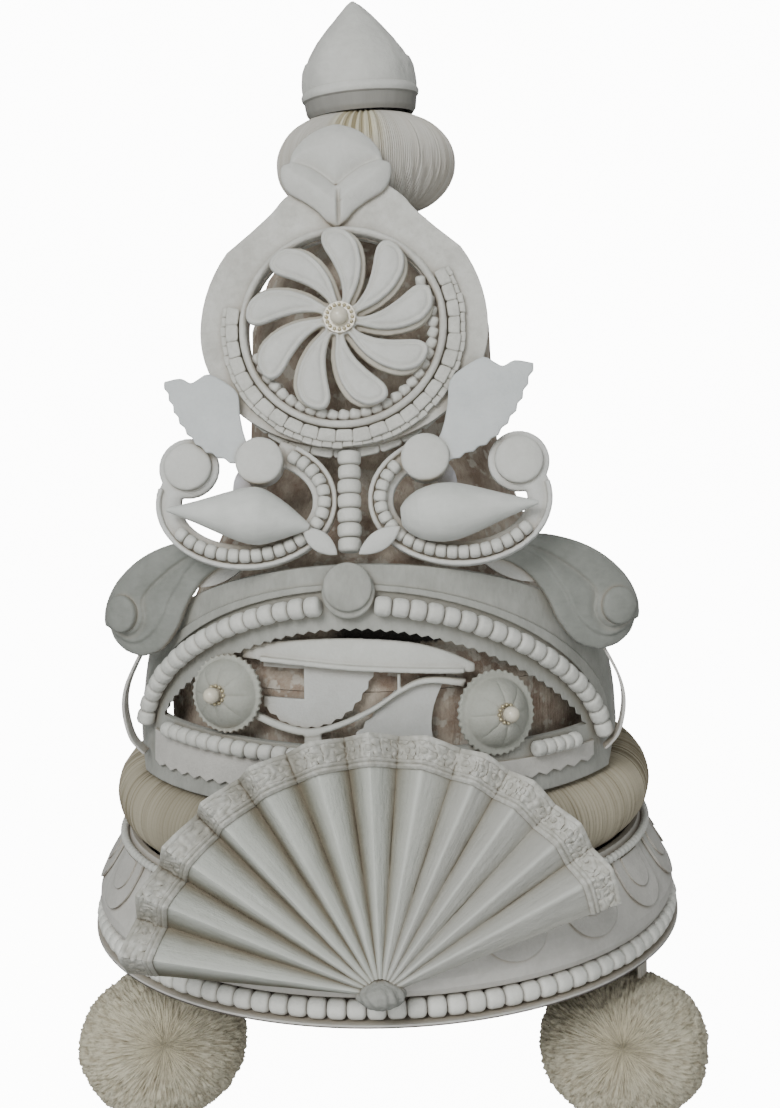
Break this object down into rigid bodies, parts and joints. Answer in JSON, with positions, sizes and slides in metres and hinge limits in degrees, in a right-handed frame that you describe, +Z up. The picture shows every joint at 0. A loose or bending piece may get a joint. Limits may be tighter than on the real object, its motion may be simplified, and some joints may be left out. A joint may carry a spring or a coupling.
{
  "type": "groom's wedding crown",
  "caption": "Tall white wedding crown of carved pith and paper: open arch with a leaf vine, folded fan, curled crest, pinwheel medallion, pleated ring, bud finial and side pompoms.",
  "frame": {"origin": "centre of the round head opening, on the plane where the seat of the head inside begins, 3 mm above the hanging lower edge of the rim", "axes": "+Z up towards the finial, front faces -Y, wearer's left side (right in the picture) is +X"},
  "size_m": [0.2775, 0.2881, 0.4903],
  "materials": {
    "pith": "soft matt white pith, cut and scored",
    "card": "matt white paper over card",
    "pleated_paper": "ivory paper in fine standing pleats",
    "folded_paper": "white crepe paper in broad folds",
    "lace": "embossed paper lace",
    "strap_cloth": "woven cotton tape",
    "pompom_paper": "cream strips, cut short",
    "pearl": "glossy pearl"
  },
  "bodies": {
    "root": {"head_drum": "card", "core": "card", "base_band": "card", "rim_beads": "pith", "band_cord": "pith", "band_scallops": "pith", "pleated_ring": "pleated_paper", "fan": "folded_paper", "fan_lace": "lace", "fan_knot": "folded_paper", "arch_panel": "pith", "arch_beads": "pith", "sill_beads": "pith", "sill_flange": "pith", "arch_rosette": "pith", "crossbar": "pith", "vine": "pith", "vine_leaf_left": "pith", "vine_leaf_right": "pith", "boss_left": "pith", "boss_right": "pith", "boss_pearl_left": "pearl", "boss_pearl_right": "pearl", "side_stays": "pith", "wing_left": "pith", "wing_right": "pith", "wing_disc_left": "pith", "wing_disc_right": "pith", "wing_leaf_left": "pith", "wing_leaf_right": "pith", "bird_loop_left": "pith", "bird_loop_right": "pith", "bird_beads_left": "pith", "bird_beads_right": "pith", "inner_disc_left": "pith", "inner_disc_right": "pith", "outer_disc_left": "pith", "outer_disc_right": "pith", "spindle_left": "pith", "spindle_right": "pith", "crest_leaves": "pith", "base_leaves": "pith", "bead_column": "pith", "tail_leaf_left": "pith", "tail_leaf_right": "pith", "medallion_plate": "pith", "medallion_ring": "pith", "medallion_beads": "pith", "dentils": "pith", "dentil_fringe": "pith", "flower_post": "pith", "flower_under": "pith", "flower_petals": "pith", "flower_pearl": "pearl", "trefoil": "pith", "paper_ball": "pleated_paper", "cap": "pith", "pompom_left": "pompom_paper", "pompom_right": "pompom_paper", "straps": "strap_cloth"}
  },
  "joints": []
}
